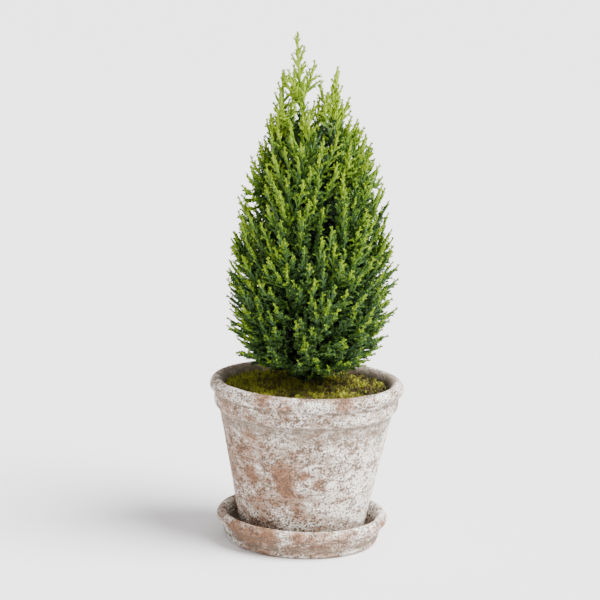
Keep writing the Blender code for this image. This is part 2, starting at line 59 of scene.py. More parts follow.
# Camera and picture
CAMERA_DISTANCE = 2.1727
CAMERA_HEIGHT = 0.6700
CAMERA_DOWN = 0.184906  # radians
CAMERA_TURN = -0.004956
CAMERA_ROLL = 0.037184
CAMERA_LENS = 123.67
CAMERA_SENSOR = 36.0

# Light, with angles in degrees
SKY_STRENGTH = 1.05
KEY_STRENGTH = 12.3
KEY_SOFTNESS = 42
KEY_RISE = 51
KEY_TURN = -20
SKY_COLOUR = (1.0, 0.99, 0.995, 1.0)
FLOOR_REACH = 40

# Saucer
SAUCER_FOOT_RADIUS = 0.0820
SAUCER_WAIST_RADIUS = 0.0868
SAUCER_WAIST_HEIGHT = 0.0174
SAUCER_ROLL_RADIUS = 0.0062
SAUCER_OUTER_RADIUS = 0.0933
SAUCER_HEIGHT = 0.0323
SAUCER_FLOOR = 0.0095
SAUCER_WELL_RADIUS = 0.0775
SAUCER_WELL_EDGE = 0.0790

# Pot
POT_FOOT = SAUCER_FLOOR + GAP
POT_FOOT_RADIUS = 0.0660
POT_FLOOR = POT_FOOT + 0.0105
POT_WALL = 0.0088
DRAIN_RADIUS = 0.0090
COLLAR_LOW = 0.1446
COLLAR_LOW_RADIUS = 0.0936
COLLAR_RADIUS = 0.0997
COLLAR_TOP = 0.1607
COLLAR_ROUNDING = 0.0040
RIM_OUTER_RADIUS = 0.1050
RIM_ROLL_RADIUS = 0.0076
RIM_HEIGHT = 0.1784

# Fine turning of the pot and the saucer
LATHE_SIDES = 190
LATHE_STEP = 0.0019
CORNER_PASSES = 3
CLAY_LUMP = 0.00045  # height of its hand-made unevenness
CLAY_LUMP_SPACING = 0.028
RIPPLE = 0.00022  # height of the throwing lines
RIPPLE_SPACING = 0.0052

# Painted light: the whitewash painted paler on the pot's right side, where the key light falls strongest
PAINTED_LIGHT_TURN = -18
PAINTED_LIGHT_HEIGHT = 0.085
PAINTED_LIGHT_SIZE = 0.105
PAINTED_LIGHT_STRENGTH = 0.088

# Where the whitewash is rubbed off most, with one broad patch of painted shade: turn, height, size and how
# much
WEAR_AND_SHADE_SPOTS = (
    # Partly wear and partly painted shade: a broad spot that darkens the pot's shaded left side
    (-145, 0.1000, 0.110, 0.050),
    (-105, 0.0876, 0.024, 0.096),
    (-103, 0.0718, 0.017, 0.090),
    (-132, 0.0860, 0.016, 0.072),
    (-89, 0.0905, 0.009, 0.108),
    (-79, 0.0803, 0.013, 0.072),
    (-131, 0.1275, 0.013, 0.054),
    (-120, 0.1196, 0.016, 0.042),
    (-74, 0.1000, 0.011, 0.042),
    (-92, 0.0480, 0.015, 0.042),
    (-116, 0.1739, 0.016, 0.084),
    (-102, 0.1690, 0.013, 0.084),
    (-67, 0.1719, 0.017, 0.066),
    (-28, 0.0983, 0.008, 0.084),
    (-10, 0.1165, 0.016, 0.048),
    (60, 0.1100, 0.028, 0.090),
    (85, 0.0700, 0.018, 0.072),
    (140, 0.1000, 0.025, 0.084),
    (175, 0.1400, 0.017, 0.066),
    (-75, 0.0110, 0.024, 0.084),
    (-110, 0.0250, 0.018, 0.076),
    (-91, 0.0248, 0.015, 0.100),
    (-97, 0.0085, 0.021, 0.100),
    (-119, 0.0120, 0.033, 0.106),
    (-140, 0.0160, 0.030, 0.088),
    (-60, 0.0200, 0.018, 0.062),
    (-20, 0.0270, 0.011, 0.084),
    (70, 0.0150, 0.033, 0.084),
    (150, 0.0200, 0.030, 0.066),
)

# Darker lines in the grooves below the rim, the collar, the pot's foot and the saucer's edge: height and
# width
GROOVES = ((0.1624, 0.0022), (0.1438, 0.0018), (0.0188, 0.0018), (0.0105, 0.006))
# Darker inside the pot's rim and on the wall under the collar, and dirt in the saucer's well: the radii
# and the heights between which it grows, how strong it gets, and its colour
DARK_RINGS = (
    ((0.0972, 0.0935), (0.120, 0.150), 0.75, (0.160, 0.120, 0.085)),
    ((SAUCER_WELL_EDGE, 0.0750), (0.032, 0.018), 0.60, (0.130, 0.095, 0.065)),
)
# Colours of the clay and of the whitewash on it
WASH_THICK = (0.950, 0.910, 0.830)
WASH_THIN = (0.370, 0.305, 0.235)
WASH_GRAIN = (0.200, 0.160, 0.120)
CLAY_RUBBED = (0.300, 0.170, 0.108)
CLAY_DARK = (0.090, 0.034, 0.013)
CLAY_LIGHT = (0.270, 0.115, 0.047)
CLAY_SPECK = (0.080, 0.054, 0.036)
GROOVE_DARK = (0.110, 0.085, 0.060)

# Soil and moss
SOIL_EDGE = 0.1632
SOIL_SEAT = 0.1690
SOIL_SEAT_RADIUS = 0.0105
MOSS_DEPTH = 0.0050
MOSS_FILL = 0.62  # of its depth, where it has no lumps
MOSS_WALL_GAP = 0.0006
MOSS_HOLE_RADIUS = 0.0035  # round the trunk
MOSS_RINGS = 56
MOSS_SIDES = 160
MOSS_LUMP = 0.0022
MOSS_LUMP_SPACING = 0.014
MOSS_PATCH_SPACING = 0.013
MOSS_SPRIGS = 5200
MOSS_SPRIG_LENGTH = 0.0050
MOSS_NEEDLE_ANGLE = 58
MOSS_PAINTED_LIGHT = 4.2  # painted light: how much more of it is bright to the left, per metre, in the crown's shadow

# Trunk
TRUNK_FOOT_X = 0.0016
TRUNK_LEAN = -0.0256
TRUNK_LEAN_CURVE = 1.6
TRUNK_SWAY = 0.0012
TRUNK_TOP = 0.425
TRUNK_FOOT_RADIUS = 0.0048
TRUNK_TOP_RADIUS = 0.0018
FLARE = 0.0036
FLARE_HEIGHT = 0.0055
FLARE_LOBES = 5
FLARE_LOBE_DEPTH = 0.25
BARK_SIDES = 40
BARK_STEP = 0.0016
BARK_RELIEF = 0.16  # of the limb's radius
BARK_STRETCH = 0.22  # of the ridges, along the limb
TRUNK_BARK_SPACING = 0.0032
BOUGH_BARK_SPACING = 0.0022
BOUGH_SIDES = 12
BOUGH_RINGS = 22
BOUGH_OVERLAP = 1.04  # how far it goes into its mass

# Crown
CROWN_TOP = 0.548
CROWN_LEAN_START = 0.430
# Heights with the crown's radius there, and with the degrees from upright that shoots point at there
CROWN_HEIGHTS = (0.188, 0.210, 0.250, 0.300, 0.345, 0.400, 0.450, 0.500, 0.548)
CROWN_RADII = (0.066, 0.079, 0.087, 0.089, 0.079, 0.066, 0.048, 0.028, 0.004)
SPREAD_HEIGHTS = (0.188, 0.215, 0.240, 0.300, 0.400, 0.480, 0.548)
SPREAD_ANGLES = (84, 62, 50, 35, 20, 9, 2)
BRANCH_START_LOW = 0.184
BRANCH_START_RATE = 0.27
BRANCH_ANGLE = 40
LOW_BRANCH_SHARE = 0.8
BRANCH_BEND = 0.36
NEARLY_UPRIGHT = 0.2
BOUGH_ROOT_RADIUS = 0.0021
BOUGH_TIP_RADIUS = 0.0013
# Tiers of boughs: name, height of the tips, how many, the bough's share of its branch, first turn
TIERS = (
    ("skirt", 0.212, 6, 0.20, 8),
    ("low", 0.268, 6, 0.19, 38),
    ("waist", 0.334, 6, 0.20, 8),
    ("shoulder", 0.405, 4, 0.24, 60),
)
TURN_JITTER = 6
HEIGHT_JITTER = 0.008
START_STAGGER = 0.006
# The highest boughs: name, tip, height of the fork, the bough's share of its branch
TOP_SHOOTS = (
    ("second_leader", (0.0195, -0.006, 0.514), 0.330, 0.34),
    ("left_shoot", (-0.0380, 0.008, 0.508), 0.318, 0.34),
    ("back_shoot", (0.0020, 0.034, 0.478), 0.306, 0.34),
    ("front_shoot", (-0.0080, -0.036, 0.470), 0.294, 0.34),
)
# Tips of side shoots that stand out of the crown's upper outline
HIGH_TIPS = (
    (-0.0044, 0.004, 0.519),
    (0.0030, 0.010, 0.498),
    (0.0329, -0.004, 0.482),
    (-0.0486, 0.002, 0.462),
    (0.0445, 0.006, 0.455),
    (-0.0600, -0.004, 0.432),
    (0.0600, 0.002, 0.428),
    (-0.0240, -0.012, 0.494),
    (0.0110, -0.020, 0.486),
    (-0.0030, -0.010, 0.478),
    (-0.0150, -0.022, 0.467),
    (0.0070, 0.014, 0.474),
)

# Layers of shoot tips: share of the crown's radius, pitch, and lowest and highest tip
LAYERS = (
    (1.05, 0.0165, 0.190, 0.516),
    (0.80, 0.0185, 0.194, 0.470),
    (0.55, 0.0185, 0.192, 0.460),
    (0.30, 0.0155, 0.200, 0.440),
)
LAYER_DEPTH = 0.14  # of the radius that a tip may stand further in
LAYER_SPACING = (1.0, 1.35, 1.9, 2.3)  # of the side shoots and twigs
LAYER_NEEDLES = (1.22, 1.6, 2.3, 2.8)  # size
STEM_VIGOUR = 1.2
HIGH_TIP_VIGOUR = 1.15
STRONG = 1.12  # vigour above which a shoot is one of the strongest
STRONG_NEEDLES = 1.14  # how much larger on those
# How far out tips stand at each height, and the share of them left out high up, where sky shows
FULL_HEIGHTS = (0.188, 0.214, 0.240, 0.300, 0.340, 0.375, 0.445, 0.500)
FULL_SHARES = (0.76, 1.00, 1.02, 1.02, 1.03, 1.08, 1.08, 1.0)
OPEN_HEIGHTS = (0.420, 0.480)
OPEN_SHARES = (0.0, 0.50)
FRONT_LIFT = 0.32  # how much more upright the shoots at the front and back are
# The crown's lowest tips, which rise towards the front, where the trunk's foot shows
OPEN_LOW = 0.186
OPEN_RISE = 0.020
# Short straight shoots on the trunk, in the crown's heart and round the foot: how many, the heights
# that they start between, the angles that they rise at, their lengths, layer and vigour
TRUNK_SHOOTS = (
    (100, (0.193, 0.430), (35, 65), (0.026, 0.044), 2, 0.8),
    (18, (0.174, 0.186), (8, 40), (0.020, 0.036), 0, 0.7),
)
STRAIGHT = np.array([0.0, 0.3, 0.7, 1.0])[:, None]  # a straight course's four control points
FORK_ANGLE = 24
FORK_REACH = 0.030  # least length of a shoot
FORK_COST = 400  # degrees of a wrong angle that each missing metre counts as
SHOOT_LEAVE = 0.3
SHOOT_ARRIVE = 0.4
SHOOT_RADIUS = 0.0010
SHOOT_TIP_RADIUS = 0.00035
STEM_RADIUS = 0.0008  # where the woody stem passes to the green one
STEM_RINGS = 7
WOODY_SIDES = 4
GREEN_SIDES = 3
GREEN_SHARE = 0.8  # of a plume, whose stem is green
YOUNG_STEM = (0.20, 0.22, 0.04)

# A shoot's leafy end, its plume, with side shoots; growth is per metre from the tip
PLUME_LENGTH = 0.068
PLUME_MOST = 0.94  # of the shoot
SPRAY_TURNS = (90, 90, 30, -30)  # from the way out of the crown to the way that the side shoots spread
SPRAY_JITTER = 16
SIDE_FIRST = 0.0080
SIDE_LAST = 0.97  # of the plume
SIDE_PITCH = 0.0050
SIDE_TURNS = (0, 180, 0, 180, 80, 0, 180, 0, 180, -80)  # of each side shoot, from that way
SIDE_TURN_JITTER = 14
SIDE_ANGLE = 31
SIDE_BEND = 0.14  # towards its shoot
SIDE_GROWTH = 0.46
SIDE_SHORTEST = 0.001
SIDE_LENGTH = 0.0150

# Short twigs, and the rods along plumes and side shoots
TWIG_FIRST = 0.0024
TWIG_PITCH = 0.0040
TWIG_ANGLE = 36
TWIG_TURN_JITTER = 28
TWIG_GROWTH = 0.45
TWIG_SHORTEST = 0.0012
TWIG_LENGTH = 0.0026
TWIG_RADIUS = 0.00068
ROD_STEP = 0.0048
ROD_RADIUS = 0.00130
ROD_TIP_SHARE = 0.8  # of the radius at the very tip
ROD_TAPER = 0.02

# Needles
NEEDLE_LENGTH = 0.0021
NEEDLE_TIP_SHORTER = 0.12
NEEDLE_WIDTH = 0.00114
NEEDLE_WIDEST = 0.42  # share of its length
NEEDLE_FOLD = 0.7  # depth, in half widths
NEEDLE_PITCH = 0.00058
NEEDLE_ANGLE = 36
NEEDLE_TIP_ANGLE = 30
TIP_CROWDING = 0.4  # how much closer the needles stand at a twig's end
GOLDEN = math.pi * (3 - math.sqrt(5))
PIECE_FACES = 190000

# Length of a shoot's lime tip at each height of that tip, and how often low needles are bluish
LIME_HEIGHTS = (0.20, 0.30, 0.40, 0.46, 0.52)
LIME_LENGTHS = (0.0015, 0.0030, 0.0048, 0.011, 0.036)
BLUE_HEIGHTS = (0.20, 0.28, 0.40)
BLUE_SHARES = (0.60, 0.40, 0.12)
# Tints of the needles, from the youngest to the most shaded: name and colour
TINTS = (
    ("lime", (0.248, 0.372, 0.011)),
    ("spring", (0.128, 0.238, 0.011)),
    ("fresh", (0.068, 0.143, 0.012)),
    ("mid", (0.040, 0.100, 0.013)),
    ("deep", (0.019, 0.050, 0.010)),
    ("shaded", (0.004, 0.011, 0.003)),
    ("bluish", (0.050, 0.108, 0.033)),
)
LIME, SPRING, FRESH, MID, DEEP, SHADED, BLUISH = range(len(TINTS))
TINT_AGES = (1.0, 2.2, 4.5, 9.0)  # in lime lengths, where each tint passes to the next
SIDE_AGE = 0.45  # how much older a side shoot is for each metre from its shoot's tip
TWIG_AGE = 0.7  # and a twig, for each metre from its own shoot's tip
LAYER_TINTS = (LIME, FRESH, DEEP, SHADED)  # the youngest tint in each layer; the inner ones are darker as painted shade
MOSS_TINTS = (
    ("bright", (0.350, 0.350, 0.028)),
    ("olive", (0.150, 0.148, 0.016)),
    ("brown", (0.120, 0.068, 0.022)),
    ("dark", (0.042, 0.038, 0.010)),
)


def unit(vectors):
    return vectors / np.maximum(np.linalg.norm(vectors, axis=-1, keepdims=True), 1e-12)


def around(turn):
    """Level directions at these turns about the pot's axis."""
    turn = np.asarray(turn, dtype=float)
    return np.stack([np.cos(turn), np.sin(turn), np.zeros_like(turn)], -1)


def leaning(first, second, angle):
    """The first direction turned by this angle towards the second, which is square to it."""
    return first * np.cos(angle) + second * np.sin(angle)


def at(turn, radius, height):
    """The place at this turn in degrees and this far from the pot's axis."""
    return around(math.radians(turn)) * radius + UP * height


def ramp(value, low, high):
    """From 0 at the low value to 1 at the high one."""
    return min(1.0, max(0.0, (value - low) / (high - low)))


def frames(ways):
    """Two directions square to each way and to each other."""
    helper = np.where(np.abs(ways[:, 2:]) < 0.9, UP, np.array([0.0, 1.0, 0.0]))
    side = unit(np.cross(ways, helper))
    return side, np.cross(side, ways)


def bezier(curve, shares):
    """Points on the cubic curve with these four control points, and its directions there."""
    share = np.atleast_1d(shares)[:, None]
    rest = 1.0 - share
    start, first, second, end = curve
    points = start * rest**3 + 3 * first * rest**2 * share + 3 * second * rest * share**2 + end * share**3
    ways = (first - start) * rest**2 + 2 * (second - first) * rest * share + (end - second) * share**2
    return points, unit(ways)


def curve_length(curve):
    points, _ = bezier(curve, np.linspace(0.0, 1.0, 21))
    return float(np.linalg.norm(np.diff(points, axis=0), axis=1).sum())


def trunk_axis(height):
    """Middle of the trunk, and above its tip of the leading shoot."""
    climb = (np.asarray(height, dtype=float) - SOIL_SEAT) / (CROWN_TOP - SOIL_SEAT)
    lean = TRUNK_LEAN * np.maximum(climb, 0.0) ** TRUNK_LEAN_CURVE
    return np.stack([TRUNK_FOOT_X + lean, TRUNK_SWAY * np.sin(2 * math.pi * climb), height + 0 * climb], -1)


def trunk_radius(height):
    return np.interp(height, (SOIL_SEAT, TRUNK_TOP), (TRUNK_FOOT_RADIUS, TRUNK_TOP_RADIUS))


def flare_radius(height, turn):
    fade = np.exp(-(height - SOIL_SEAT) / FLARE_HEIGHT)
    lobe = 1.0 - FLARE_LOBE_DEPTH * (1.0 - np.cos(FLARE_LOBES * turn))
    return trunk_radius(height) + FLARE * fade * lobe


def crown_radius(height):
    return np.interp(height, CROWN_HEIGHTS, CROWN_RADII)


def tip_way(height, turn, share=1.0):
    """The direction in which a shoot's tip points at this height of the crown."""
    spread = math.radians(float(np.interp(height, SPREAD_HEIGHTS, SPREAD_ANGLES))) * share
    return leaning(UP, around(turn), spread)


def crown_axis(height):
    """The crown's middle: the pot's axis low down, and the leader's at the top."""
    share = max(0.0, (height - CROWN_LEAN_START) / (CROWN_TOP - CROWN_LEAN_START))
    middle = trunk_axis(height)
    return np.array([middle[0] * share, middle[1] * share, height])


def crown_tip(height, turn, share=1.0):
    return crown_axis(height) + around(turn) * crown_radius(height) * share


def branch_curve(start_height, tip):
    """The course of a branch, from the trunk's middle out and up to its tip on the crown's outline."""
    start = trunk_axis(start_height)
    away = tip - start
    turn = math.atan2(away[1], away[0])
    rise = math.radians(BRANCH_ANGLE)
    slope = math.atan2(away[2], math.hypot(away[0], away[1]))
    if slope < rise:
        rise = slope * LOW_BRANCH_SHARE
    leave = leaning(around(turn), UP, rise)
    bend = np.linalg.norm(away) * BRANCH_BEND
    return np.array([start, start + leave * bend, tip - tip_way(tip[2], turn) * bend, tip])


def branch_start(tip_height):
    return BRANCH_START_LOW + (tip_height - CROWN_HEIGHTS[0]) * BRANCH_START_RATE


def plan_masses():
    """Name, course and bough end of each mass of the solid model."""
    masses = []
    rng = random.Random(SEED)
    for name, height, count, bough_end, first_turn in TIERS:
        for index in range(count):
            turn = math.radians(first_turn + 360 * index / count + rng.uniform(-TURN_JITTER, TURN_JITTER))
            tip_height = height + rng.uniform(-HEIGHT_JITTER, HEIGHT_JITTER)
            start = branch_start(tip_height) + START_STAGGER * (index % 2)
            curve = branch_curve(start, crown_tip(tip_height, turn))
            masses.append((f"{name}_{index + 1}", curve, bough_end))
    for name, tip, start, bough_end in TOP_SHOOTS:
        masses.append((name, branch_curve(start, np.array(tip)), bough_end))
    masses.append(("leader", np.linspace(trunk_axis(TRUNK_TOP), trunk_axis(CROWN_TOP), 4), 0.0))
    return masses


def outline_tips(share, pitch, low, high, rng):
    """Heights and turns of tips spread evenly over the crown's outline, or over a slimmer one within it."""
    heights = np.linspace(low, high, 200)
    radii = crown_radius(heights) * share
    slant = np.hypot(np.diff(heights), np.diff(radii))
    area = np.concatenate([[0.0], np.cumsum(math.pi * (radii[1:] + radii[:-1]) * slant)])
    count = round(area[-1] / pitch**2)
    places = (np.arange(count) + rng.uniform(0.1, 0.9, count)) / count * area[-1]
    turns = np.arange(count) * GOLDEN + rng.normal(0.0, 0.12, count)
    return zip(np.interp(places, area, heights), turns)


def fork_on(carriers, tip):
    """The point and direction on the nearest stem where a shoot to this tip leaves it."""
    points, ways = min(carriers, key=lambda carrier: np.linalg.norm(carrier[0] - tip, axis=1).min())
    away = tip - points
    reach = np.linalg.norm(away, axis=1)
    angle = np.degrees(np.arccos(np.clip((away * ways).sum(1) / reach, -1.0, 1.0)))
    fits = np.flatnonzero((angle < FORK_ANGLE) & (reach > FORK_REACH))
    place = fits[-1] if len(fits) else int(np.argmin(angle + FORK_COST * np.maximum(FORK_REACH - reach, 0.0)))
    return points[place], ways[place]


def shoot_curve(start, along, tip, share):
    """The course of a side shoot, from its fork on a stem to its tip."""
    reach = np.linalg.norm(tip - start)
    aside = (tip - start) - along * (tip - start).dot(along)
    leave = leaning(along, unit(aside), math.radians(FORK_ANGLE))
    out = tip - crown_axis(tip[2])
    turn = math.atan2(out[1], out[0])
    end_way = tip_way(tip[2], turn, share * (1.0 - FRONT_LIFT * abs(math.sin(turn))))
    return np.array([start, start + leave * reach * SHOOT_LEAVE, tip - end_way * reach * SHOOT_ARRIVE, tip])


def plan_shoots(masses):
    """Course, layer and vigour of each shoot: stems, highest tips, each layer's tips, and the trunk's own."""
    rng = np.random.default_rng(SEED)
    carriers = [bezier(curve, np.linspace(max(end, 0.05), 0.90, 40)) for _, curve, end in masses]
    shoots = [(curve, 0, STEM_VIGOUR) for _, curve, _ in masses]
    for tip in HIGH_TIPS:
        place = np.array(tip)
        shoots.append((shoot_curve(*fork_on(carriers, place), place, 1.0), 0, HIGH_TIP_VIGOUR))
    for layer, (share, pitch, low, high) in enumerate(LAYERS):
        for height, turn in outline_tips(share, pitch, low, high, rng):
            full = np.interp(height, FULL_HEIGHTS, FULL_SHARES)
            tip = crown_tip(height, turn, share * full * (1.0 - LAYER_DEPTH * rng.random()))
            if rng.random() < np.interp(height, OPEN_HEIGHTS, OPEN_SHARES):
                continue
            if height < OPEN_LOW - OPEN_RISE * min(0.0, math.sin(turn)):
                continue
            curve = shoot_curve(*fork_on(carriers, tip), tip, share)
            shoots.append((curve, layer, rng.uniform(0.85, 1.1)))
    return shoots + trunk_shoots(rng)


def trunk_shoots(rng):
    """Course, layer and vigour of the short straight shoots on the trunk."""
    shoots = []
    for count, (low, high), rises, lengths, layer, vigour in TRUNK_SHOOTS:
        for index in range(count):
            way = leaning(around(index * GOLDEN), UP, math.radians(rng.uniform(*rises)))
            start = trunk_axis(low + (high - low) * index / count)
            shoots.append((start + way * rng.uniform(*lengths) * STRAIGHT, layer, vigour))
    return shoots


# A shoot's layer, the length of its lime tip, how often it is bluish, and the size of its needles
Look = namedtuple("Look", "layer lime blue size")


class Twigs:
    """Twigs as columns of numbers, so that all their needles can be made at once."""

    def __init__(self):
        self.parts = []

    def add(self, start, way, **values):
        """Twigs that start here and point that way. A column has one value, or one for each twig."""
        values = {"first": 0.0, "end": 0.0, "closes": 1.0, **values}
        columns = {name: np.broadcast_to(value, len(start)) for name, value in values.items()}
        self.parts.append({"start": start, "way": way, **columns})

    def column(self, name):
        return np.concatenate([part[name] for part in self.parts])

    def of(self, chosen, *names):
        """These columns of the chosen twigs."""
        return (self.column(name)[chosen] for name in names)


def tints_at(ages, look, rng):
    """Tints at these distances from a shoot's tip, from lime at the tip to deep green, darker in the inner
    layers as painted shade.
    """
    ages = ages / look.lime * (1.0 + rng.normal(0.0, 0.22, len(ages)))
    # Inner layers are a step darker, as painted shade
    tint = LIME + (ages[:, None] > np.array(TINT_AGES)).sum(1) + min(look.layer, 1)
    tint = np.clip(tint, LAYER_TINTS[look.layer], SHADED)
    turns_blue = (rng.random(len(tint)) < look.blue) & (tint >= FRESH) & (tint <= DEEP)
    return np.where(turns_blue, BLUISH, tint)


def younger(tint, look):
    """The tint of a twig's own end, one step lighter than the twig."""
    return np.where(tint == BLUISH, FRESH, np.maximum(tint - 1, LAYER_TINTS[look.layer]))


def clothe(twigs, curve, leafy, age, look, rng):
    """Needles along the outer leafy length of a curve, in runs that each have their tint."""
    length = curve_length(curve)
    steps = max(2, round(leafy / (ROD_STEP * look.size)))
    edges = np.linspace(leafy, 0.0, steps + 1)
    corners, _ = bezier(curve, 1.0 - edges / length)
    runs = np.diff(corners, axis=0)
    thickness = ROD_RADIUS * look.size * np.minimum(1.0, ROD_TIP_SHARE + edges / ROD_TAPER)
    thickness[-1] = 0.0
    twigs.add(
        start=corners[:-1],
        way=unit(runs),
        length=np.linalg.norm(runs, axis=1),
        root=thickness[:-1],
        end=thickness[1:],
        closes=np.arange(steps) == steps - 1,
        size=look.size,
        tint=tints_at(age + (edges[1:] + edges[:-1]) / 2, look, rng),
    )


def spray_frames(ways, spray):
    """Two directions square to each way and to each other, the first of them along the spray."""
    side = unit(spray - ways * (ways @ spray)[:, None])
    return side, np.cross(side, ways)


def add_short_twigs(twigs, curve, spray, leafy, age, look, rng):
    """Short twigs to both sides of the outer leafy length of a curve, along the way that it spreads."""
    length = curve_length(curve)
    pitch = TWIG_PITCH * LAYER_SPACING[look.layer]
    distance = np.arange(TWIG_FIRST, leafy, pitch)
    count = len(distance)
    if not count:
        return
    distance = distance + rng.uniform(-0.2, 0.2, count) * pitch
    points, ways = bezier(curve, 1.0 - distance / length)
    side, over = spray_frames(ways, spray)
    turn = math.pi * (np.arange(count) + rng.integers(2))
    turn = (turn + np.radians(rng.normal(0.0, TWIG_TURN_JITTER, count)))[:, None]
    radial = leaning(side, over, turn)
    angle = np.radians(TWIG_ANGLE + rng.normal(0.0, 5, count))[:, None]
    reach = np.minimum(TWIG_LENGTH, TWIG_SHORTEST + TWIG_GROWTH * distance) * rng.uniform(0.75, 1.3, count)
    twigs.add(
        start=points,
        way=unit(leaning(ways, radial, angle)),
        length=reach * look.size**0.5,
        root=TWIG_RADIUS * look.size,
        size=look.size,
        tint=younger(tints_at(age + TWIG_AGE * distance, look, rng), look),
    )


def side_course(curve, spray, distance, turn, reach, rng):
    """The course of a side shoot that leaves a shoot at this distance from its tip and bends up along it."""
    points, ways = bezier(curve, 1.0 - distance / curve_length(curve))
    side, over = spray_frames(ways, spray)
    angle = math.radians(SIDE_ANGLE + rng.normal(0.0, 4))
    start = points[0]
    way = leaning(ways, leaning(side, over, turn), angle)[0]
    end_way = unit(way + SIDE_BEND * ways[0])
    tip = start + (way + end_way) * reach / 2
    return np.array([start, start + way * reach / 3, tip - end_way * reach / 3, tip])


def grow_plume(twigs, curve, look, vigour, rng):
    """The leafy end of a shoot with its side shoots. Returns how long it is."""
    length = curve_length(curve)
    leafy = min(PLUME_LENGTH * vigour * rng.uniform(0.85, 1.1), PLUME_MOST * length)
    out = curve[3] - crown_axis(curve[3][2])
    # The strongest shoots spread to the left and the right, and the others mostly round the crown
    turn = 0.0 if vigour > STRONG else math.atan2(out[1], out[0]) + math.radians(rng.choice(SPRAY_TURNS))
    spray = around(turn + math.radians(rng.normal(0.0, SPRAY_JITTER)))
    clothe(twigs, curve, leafy, 0.0, look, rng)
    add_short_twigs(twigs, curve, spray, min(leafy, 1.3 * SIDE_FIRST), 0.0, look, rng)
    distance = SIDE_FIRST * rng.uniform(0.8, 1.15)
    place = int(rng.integers(6))
    while distance < SIDE_LAST * leafy:
        reach = min(SIDE_LENGTH * vigour, SIDE_GROWTH * distance + SIDE_SHORTEST) * rng.uniform(0.75, 1.2)
        turn = math.radians(SIDE_TURNS[place % len(SIDE_TURNS)] + rng.normal(0.0, SIDE_TURN_JITTER))
        course = side_course(curve, spray, distance, turn, reach, rng)
        age = SIDE_AGE * distance
        clothe(twigs, course, reach * 0.98, age, look, rng)
        add_short_twigs(twigs, course, spray, reach * 0.8, age, look, rng)
        distance += SIDE_PITCH * LAYER_SPACING[look.layer] * rng.uniform(0.8, 1.2)
        place += 1
    return leafy


def needle_counts(twigs, chosen):
    """How many needles each of the chosen twigs bears."""
    length, first, end, closes, size = twigs.of(chosen, "length", "first", "end", "closes", "size")
    close = 1.0 + TIP_CROWDING * closes * (end == 0.0)
    return np.maximum(2, np.round(close * length * (1.0 - first) / (NEEDLE_PITCH * size))).astype(int)


def needle_mesh(twigs, chosen, rng, spread=NEEDLE_ANGLE):
    """Corners and faces of the chosen twigs and of the needles on them."""
    return join_meshes([needles(twigs, chosen, rng, spread), *rods(twigs, chosen)])


def needles(twigs, chosen, rng, spread):
    """Corners and faces of the needles of the chosen twigs, each folded along its middle."""
    start, way, length, first = twigs.of(chosen, "start", "way", "length", "first")
    closes, size = twigs.of(chosen, "closes", "size")
    counts = needle_counts(twigs, chosen)
    owner = np.repeat(np.arange(len(counts)), counts)
    count = len(owner)
    order = np.arange(count) - np.repeat(np.cumsum(counts) - counts, counts)
    share = first[owner] + (1.0 - first)[owner] * (order + 0.5) / counts[owner]
    along = way[owner]
    base = start[owner] + along * (length[owner] * share)[:, None]
    side, over = frames(along)
    turn = order * GOLDEN + (owner * 1.7) % 6.28
    turn = (turn + rng.normal(0.0, 0.2, count))[:, None]
    radial = leaning(side, over, turn)
    closing = closes[owner] * share**4
    angle = spread + (NEEDLE_TIP_ANGLE - spread) * closing + rng.normal(0.0, 5, count)
    needle = leaning(along, radial, np.radians(angle)[:, None])
    reach = NEEDLE_LENGTH * size[owner] * (1.0 - NEEDLE_TIP_SHORTER * closing)
    reach = (reach * rng.uniform(0.8, 1.15, count))[:, None]
    half = (NEEDLE_WIDTH * size[owner] / 2 * rng.uniform(0.85, 1.15, count))[:, None]
    across = np.cross(along, radial)
    under = np.cross(needle, across)
    middle = base + needle * (reach * NEEDLE_WIDEST) + under * (half * NEEDLE_FOLD)
    corners = np.stack([base, middle + across * half, base + needle * reach, middle - across * half], 1)
    return repeated(corners, [(0, 1, 2), (0, 2, 3)])


def rods(twigs, chosen):
    """Corners and faces of the chosen twigs that end in a point, and of those that pass to the next one."""
    start, way, length = twigs.of(chosen, "start", "way", "length")
    first, root, end = twigs.of(chosen, "first", "root", "end")
    turns = 2 * math.pi * np.arange(3) / 3
    side, over = frames(way)
    ring = leaning(side[:, None], over[:, None], turns[:, None])
    low = (start + way * (length * first)[:, None])[:, None] + ring * root[:, None, None]
    high = (start + way * length[:, None])[:, None] + ring * end[:, None, None]
    pointed, blunt = np.flatnonzero(end == 0.0), np.flatnonzero(end > 0.0)
    sides = [(corner, (corner + 1) % 3) for corner in range(3)]
    cones = repeated(np.concatenate([low[pointed], high[pointed, :1]], 1), [(a, b, 3) for a, b in sides])
    halves = [(a, b, b + 3) for a, b in sides] + [(a, b + 3, a + 3) for a, b in sides]
    return cones, repeated(np.concatenate([low[blunt], high[blunt]], 1), halves)


def repeated(corners, triangles):
    """Corners of many like shapes in one list, and these triangles of each of them."""
    first_corner = corners.shape[1] * np.arange(len(corners))[:, None]
    return corners.reshape(-1, 3), np.concatenate([first_corner + triangle for triangle in triangles])


def join_meshes(meshes):
    """One set of corners and faces out of several that have the same number of corners a face."""
    firsts = np.cumsum([0] + [len(corners) for corners, _ in meshes])
    faces = [faces + first for (_, faces), first in zip(meshes, firsts)]
    return np.concatenate([corners for corners, _ in meshes]), np.concatenate(faces)


def tube(points, root_radius, end_radius, sides):
    """Corners and faces of an open tube of quads along these points, which thins evenly."""
    ways = unit(np.gradient(points, axis=0))
    normal = np.cross(unit(points[-1] - points[0]), UP)
    if np.linalg.norm(normal) < NEARLY_UPRIGHT:
        normal = np.array([1.0, 0.0, 0.0])
    over = unit(np.cross(normal, ways))
    side = np.cross(ways, over)
    turn = np.linspace(0.0, 2 * math.pi, sides, endpoint=False)[None, :, None]
    radii = np.linspace(root_radius, end_radius, len(points))[:, None, None]
    rings = points[:, None] + leaning(side[:, None], over[:, None], turn) * radii
    return rings.reshape(-1, 3), ring_faces(len(points), sides)


